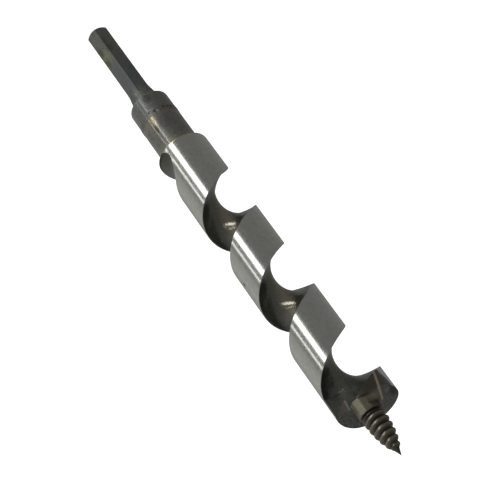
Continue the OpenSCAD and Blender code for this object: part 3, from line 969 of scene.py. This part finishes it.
def screw_recipe(finishes):
    """The lead screw's thread on an ogive, which ends in a plain point."""
    sizes = {
        "Screw diameter": 9.2, "Screw length": 19.0, "Thread pitch": 2.6, "Thread depth": 1.1,
        "Point length": 3.4, "Ogive power": 2.6, "Thread fade": 0.45, "Start turn": 284.0,
        "Start height": NOSE_Z, "Rows": 420, "Sides": 120,
    }
    r = Recipe("Lead screw", sizes, finishes)
    rows, sides = r["Rows"], r["Sides"]
    grid, row, column = grid_shares(r, rows, sides + 1.0)
    length, pitch = r["Screw length"], r["Thread pitch"]
    # The last row stops just short of the tip, and leaves a tiny flat.
    z = length * (row / (rows - 1.0)).do("MINIMUM", 0.9995)
    turn = 360.0 * (column - sides * column.do("GREATER_THAN", sides - 0.5)) / sides
    last = length - r["Point length"]

    def crest(height):
        """Radius of the ogive that the thread's crest follows."""
        return r["Screw diameter"] * 0.5 * (1.0 - (height / length) ** r["Ogive power"])

    def depth(height):
        """The thread's depth, which fades towards the point."""
        return r["Thread depth"] * (1.0 - r["Thread fade"] * height / last)

    on_point = z.do("GREATER_THAN", last)
    point = (crest(last) - depth(last)) * (length - z) / r["Point length"]
    core = mixed(on_point, crest(z) - depth(z), point)
    quarter = pitch * 0.25
    grip = eased(z, z * 0.0, pitch * 0.5) * (1.0 - eased(z, last - quarter, last + quarter))
    wave = cosine(180.0 * z / pitch - (turn - r["Start turn"]) * 0.5).do("ABSOLUTE")
    radius = core + depth(z.do("MINIMUM", last)) * grip * wave
    grid = stored(r, grid, "crest", wave * grip)
    tube = closed_up(r, placed(r, grid, radius, turn, r["Start height"] + z))
    r.finish(tube, [(None, "Screw finish")])
    return r


def settle(piece, node):
    """Smooths a piece between its sharp edges, and says what it rides on and replaces."""
    for face in piece.data.polygons:
        face.use_smooth = True
    piece.data.set_sharp_from_angle(angle=math.radians(SHARP_EDGE))
    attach(piece, "root")
    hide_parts(node)


shank = make_shank()
weld = make_weld()
twist = make_twist()
screw = screw_recipe({"Screw finish": screw_finish}).make("lead_screw_dressed")
sorted_finishes(screw, [screw_finish])
cap_ends(screw)
settle(shank, "hex_shank")
settle(weld, "weld_seam")
settle(twist, "twist")
settle(screw, "lead_screw")


def make_floor():
    """A plain white floor just under the drive end, which neither lights the bit nor shows in it."""
    mesh = bpy.data.meshes.new("floor")
    half, z = 6.0, -0.0006
    corners = [(-half, -half, z), (half, -half, z), (half, half, z), (-half, half, z)]
    mesh.from_pydata(corners, [], [(0, 1, 2, 3)])
    floor = added("floor", mesh)
    pale = bpy.data.materials.new("pale_floor")
    pale.use_nodes = True
    shader = pale.node_tree.nodes["Principled BSDF"]
    shader.inputs["Base Color"].default_value = (0.9, 0.9, 0.9, 1)
    shader.inputs["Roughness"].default_value = 0.9
    shader.inputs["Specular IOR Level"].default_value = 0.0
    shader.inputs["Emission Color"].default_value = (1, 1, 1, 1)
    shader.inputs["Emission Strength"].default_value = 1.0
    finish_with(mesh, [pale])
    floor.visible_glossy = False
    floor.visible_diffuse = False
    floor.visible_shadow = False


def aim(direction):
    """The turn that points a lamp's beam along a direction, its long side upright."""
    back = -Vector(direction).normalized()
    across = Vector((0, 0, 1)).cross(back).normalized()
    up = back.cross(across)
    return Matrix((across, up, back)).transposed().to_4x4()


def strip_lamp(name, azimuth, width, height, glow):
    """A long soft lamp, aimed at the bit's middle. Azimuth runs from -Y to +X, and glow is its brightness."""
    elevation, distance, middle = -31.6, 1.5, Vector((0, 0, 0.14))
    a, e = math.radians(azimuth), math.radians(elevation)
    towards = Vector((math.cos(e) * math.sin(a), -math.cos(e) * math.cos(a), math.sin(e)))
    lamp = bpy.data.lights.new(name, "AREA")
    lamp.shape, lamp.size, lamp.size_y = "RECTANGLE", width, height
    lamp.energy = glow * math.pi * width * height
    added(name, lamp).matrix_world = Matrix.Translation(middle + towards * distance) @ aim(-towards)


def make_tent():
    """The pale room: brightest on the picture's left, dim elsewhere, and plain white to the camera."""
    world = bpy.data.worlds.new("tent")
    bpy.context.scene.world = world
    world.use_nodes = True
    tree = world.node_tree
    tree.nodes.clear()
    place = tree.nodes.new("ShaderNodeTexCoord")
    apart = tree.nodes.new("ShaderNodeSeparateXYZ")
    tree.links.new(place.outputs["Generated"], apart.inputs[0])
    x, y = Term(tree, apart.outputs["X"]), Term(tree, apart.outputs["Y"])
    share = x.do("ARCTAN2", 0.0 - y) / (2 * math.pi) + 0.5
    ramp = tree.nodes.new("ShaderNodeValToRGB")
    plug(tree, ramp.inputs[0], share)
    # Degrees from -Y towards +X, and the brightness there
    stops = (
        (-180, 0.2), (-150, 0.25), (-110, 0.215), (-60, 0.19), (0, 0.19),
        (38, 0.24), (60, 0.24), (78, 0.42), (115, 0.48), (180, 0.25),
    )
    while len(ramp.color_ramp.elements) < len(stops):
        ramp.color_ramp.elements.new(0.5)
    for stop, (turn, level) in zip(ramp.color_ramp.elements, stops):
        stop.position = turn / 360 + 0.5
        stop.color = (level, level, level * 0.98, 1)
    tent = tree.nodes.new("ShaderNodeBackground")
    white = tree.nodes.new("ShaderNodeBackground")
    white.inputs["Color"].default_value = (1, 1, 1, 1)
    path = tree.nodes.new("ShaderNodeLightPath")
    mix = tree.nodes.new("ShaderNodeMixShader")
    out = tree.nodes.new("ShaderNodeOutputWorld")
    tree.links.new(ramp.outputs["Color"], tent.inputs["Color"])
    tree.links.new(path.outputs["Is Camera Ray"], mix.inputs[0])
    tree.links.new(tent.outputs[0], mix.inputs[1])
    tree.links.new(white.outputs[0], mix.inputs[2])
    tree.links.new(mix.outputs[0], out.inputs[0])


def make_camera():
    """The photograph's camera: it looks down past the bit, with the drive end at the upper left."""
    # The fit is in pixels, degrees and units of 22.94 mm. Lie is the bit's direction in the picture, and
    # tilt is how far it leads out of it.
    unit, wide, middle = 22.94, 500, Vector((249.0, 249.5))
    tilt, lie = math.radians(31.573942), math.radians(54.24)
    focal, deep, up_the_bit = 1316.0088, 21.97571, 6.065
    along = Vector((math.cos(lie), math.sin(lie)))
    across = Vector((along.y, -along.x))
    axis = Vector((along.x * math.cos(tilt), along.y * math.cos(tilt), -math.sin(tilt)))
    level = Vector((across.x, across.y, 0))
    front = Vector((-along.x * math.sin(tilt), -along.y * math.sin(tilt), -math.cos(tilt)))
    spot = Vector((253.90727, 254.60454)) + 0.6231324 * along + 1.9612739 * across
    base = Vector(((spot.x - middle.x) / focal, (spot.y - middle.y) / focal, 1)) * deep * unit
    base -= axis * (up_the_bit * unit - 1.0)
    turn = Matrix((-level, -front, axis)).transposed()
    place = -(turn.transposed() @ base) * MM
    right, down, ahead = turn[0], turn[1], turn[2]
    stand = Matrix((right, -down, -ahead)).transposed().to_4x4()
    camera = bpy.data.cameras.new("camera")
    camera.sensor_fit, camera.sensor_width = "AUTO", 36
    camera.lens = camera.sensor_width * focal / wide
    camera.clip_start, camera.clip_end = 0.01, 50
    holder = added("camera", camera)
    holder.matrix_world = Matrix.Translation(place) @ stand
    bpy.context.scene.camera = holder


make_floor()
make_tent()
strip_lamp("wide_strip", 21.2, 0.375, 3.4, 3.2)
strip_lamp("narrow_strip", 50.2, 0.105, 3.0, 2.2)
make_camera()
bpy.context.scene.view_settings.view_transform = "Standard"
